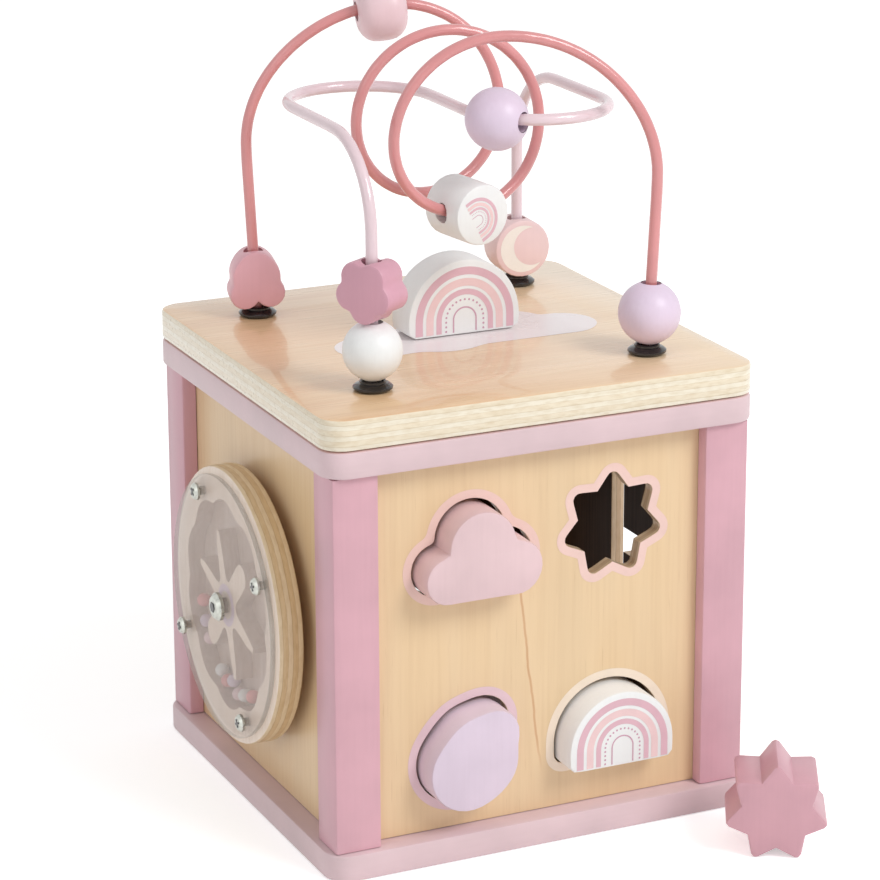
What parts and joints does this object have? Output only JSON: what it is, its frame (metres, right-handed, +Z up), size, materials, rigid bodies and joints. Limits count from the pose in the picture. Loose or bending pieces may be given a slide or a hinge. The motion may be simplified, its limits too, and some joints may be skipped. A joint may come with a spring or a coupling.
{
  "type": "wooden activity cube",
  "caption": "Wooden activity cube with a bead maze on top, a shape sorter, a turning rattle wheel, a slot maze with sliders and a hand opening.",
  "frame": {"origin": "centre of the base plate's underside", "axes": "+Z up, -Y out of the shape sorter's face, -X out of the rattle wheel's face"},
  "size_m": [0.1826, 0.212, 0.2842],
  "materials": {
    "pale_pink": "satin paint",
    "rose": "satin paint",
    "plywood": "clear lacquer",
    "panel": "clear lacquer",
    "beech": "sanded",
    "coral_wire": "powder coat",
    "pale_wire": "powder coat",
    "black": "gloss",
    "heart": "satin paint",
    "flower": "satin paint",
    "white": "satin paint",
    "lilac": "satin paint",
    "blush": "satin paint",
    "moon": "satin paint",
    "cloud": "satin paint",
    "pebble": "satin paint",
    "star": "satin paint",
    "coral": "satin paint",
    "clear": "clear",
    "zinc": "zinc plated",
    "washer": "matt"
  },
  "bodies": {
    "box": {"base_plate": "pale_pink", "corner_post_1": "rose", "corner_post_2": "rose", "corner_post_3": "rose", "corner_post_4": "rose", "top_frame": "pale_pink", "top_plate": "plywood", "sorter_panel": "panel", "wheel_panel": "panel", "slot_panel": "panel", "back_panel": "panel", "arch_wire": "coral_wire", "wave_wire": "pale_wire", "foot_cap_1": "black", "foot_cap_2": "black", "foot_cap_3": "black", "foot_cap_4": "black", "top_rainbow": "white", "axle_bolt": "zinc", "axle_washer": "washer", "axle_nut": "zinc"},
    "wheel": {"wheel_body": "plywood", "wheel_cover": "clear", "cover_screw_1": "zinc", "cover_screw_2": "zinc", "cover_screw_3": "zinc", "cover_screw_4": "zinc", "rattle_bead_1": "coral", "rattle_bead_2": "lilac", "rattle_bead_3": "blush", "rattle_bead_4": "white", "rattle_bead_5": "coral", "rattle_bead_6": "lilac", "rattle_bead_7": "blush", "rattle_bead_8": "white", "rattle_bead_9": "coral"},
    "heart_on_wire": {"heart_bead": "heart"},
    "white_on_wire": {"white_bead": "white"},
    "flower_on_wire": {"flower_bead": "flower"},
    "moon_on_wire": {"moon_bead": "moon"},
    "lilac_on_wire": {"lilac_bead": "lilac"},
    "wave_on_wire": {"wave_bead": "lilac"},
    "barrel_on_wire": {"barrel_bead": "blush"},
    "rainbow_on_wire": {"rainbow_bead": "white"},
    "cloud_block_free": {"cloud_block": "cloud"},
    "pebble_block_free": {"pebble_block": "pebble"},
    "rainbow_block_free": {"rainbow_block": "white"},
    "star_block_free": {"star_block": "star"},
    "slider_1": {"slider_knob_1": "lilac", "slider_back_1": "beech", "slider_screw_1": "zinc"},
    "slider_2": {"slider_knob_2": "rose", "slider_back_2": "beech", "slider_screw_2": "zinc"},
    "slider_3": {"slider_knob_3": "white", "slider_back_3": "beech", "slider_screw_3": "zinc"}
  },
  "joints": [
    {"name": "wheel_spin", "type": "hinge", "parent": "box", "child": "wheel", "pos_m": [-0.0805, 0, 0.0744], "axis": [-1, 0, 0], "continuous": true},
    {"name": "heart_slide", "type": "slide", "parent": "box", "child": "heart_on_wire", "axis": [-0.0527, 0, 0.9986], "range_m": [0, 0.036]},
    {"name": "white_slide", "type": "slide", "parent": "box", "child": "white_on_wire", "axis": [0, 0, 1], "range_m": [0, 0.006]},
    {"name": "flower_slide", "type": "slide", "parent": "white_on_wire", "child": "flower_on_wire", "axis": [0, 0, 1], "range_m": [0, 0.008]},
    {"name": "moon_slide", "type": "slide", "parent": "box", "child": "moon_on_wire", "axis": [0, 0, 1], "range_m": [0, 0.024]},
    {"name": "lilac_slide", "type": "slide", "parent": "box", "child": "lilac_on_wire", "axis": [0.0527, 0, 0.9986], "range_m": [0, 0.036]},
    {"name": "wave_run", "type": "hinge", "parent": "box", "child": "wave_on_wire", "pos_m": [0.02575, -0.015, 0.245], "axis": [0, 0, 1], "range_deg": [-15, 110]},
    {"name": "barrel_run", "type": "hinge", "parent": "box", "child": "barrel_on_wire", "pos_m": [-0.00263, 0.04104, 0.21934], "axis": [0.209, 0.9725, 0.1027], "range_deg": [-50, 12]},
    {"name": "loop_run", "type": "hinge", "parent": "box", "child": "rainbow_on_wire", "pos_m": [0.00006, -0.016, 0.2431], "axis": [-0.178, 0.984, 0.0125], "range_deg": [-35, 35]},
    {"name": "cloud_post", "type": "slide", "parent": "box", "child": "cloud_block_free", "axis": [0, -1, 0], "range_m": [-0.03, 0.04]},
    {"name": "pebble_post", "type": "slide", "parent": "box", "child": "pebble_block_free", "axis": [0, -1, 0], "range_m": [-0.03, 0.04]},
    {"name": "rainbow_post", "type": "slide", "parent": "box", "child": "rainbow_block_free", "axis": [0, -1, 0], "range_m": [-0.03, 0.04]},
    {"name": "star_lift", "type": "slide", "parent": "box", "child": "star_block_free", "axis": [0, 0, 1], "range_m": [0, 0.05]},
    {"name": "slider_1_run", "type": "slide", "parent": "box", "child": "slider_1", "axis": [0, 1, 0], "range_m": [0, 0.028]},
    {"name": "slider_2_run", "type": "slide", "parent": "box", "child": "slider_2", "axis": [0, -1, 0], "range_m": [0, 0.028]},
    {"name": "slider_3_run", "type": "slide", "parent": "box", "child": "slider_3", "axis": [0, -1, 0], "range_m": [0, 0.028]}
  ]
}
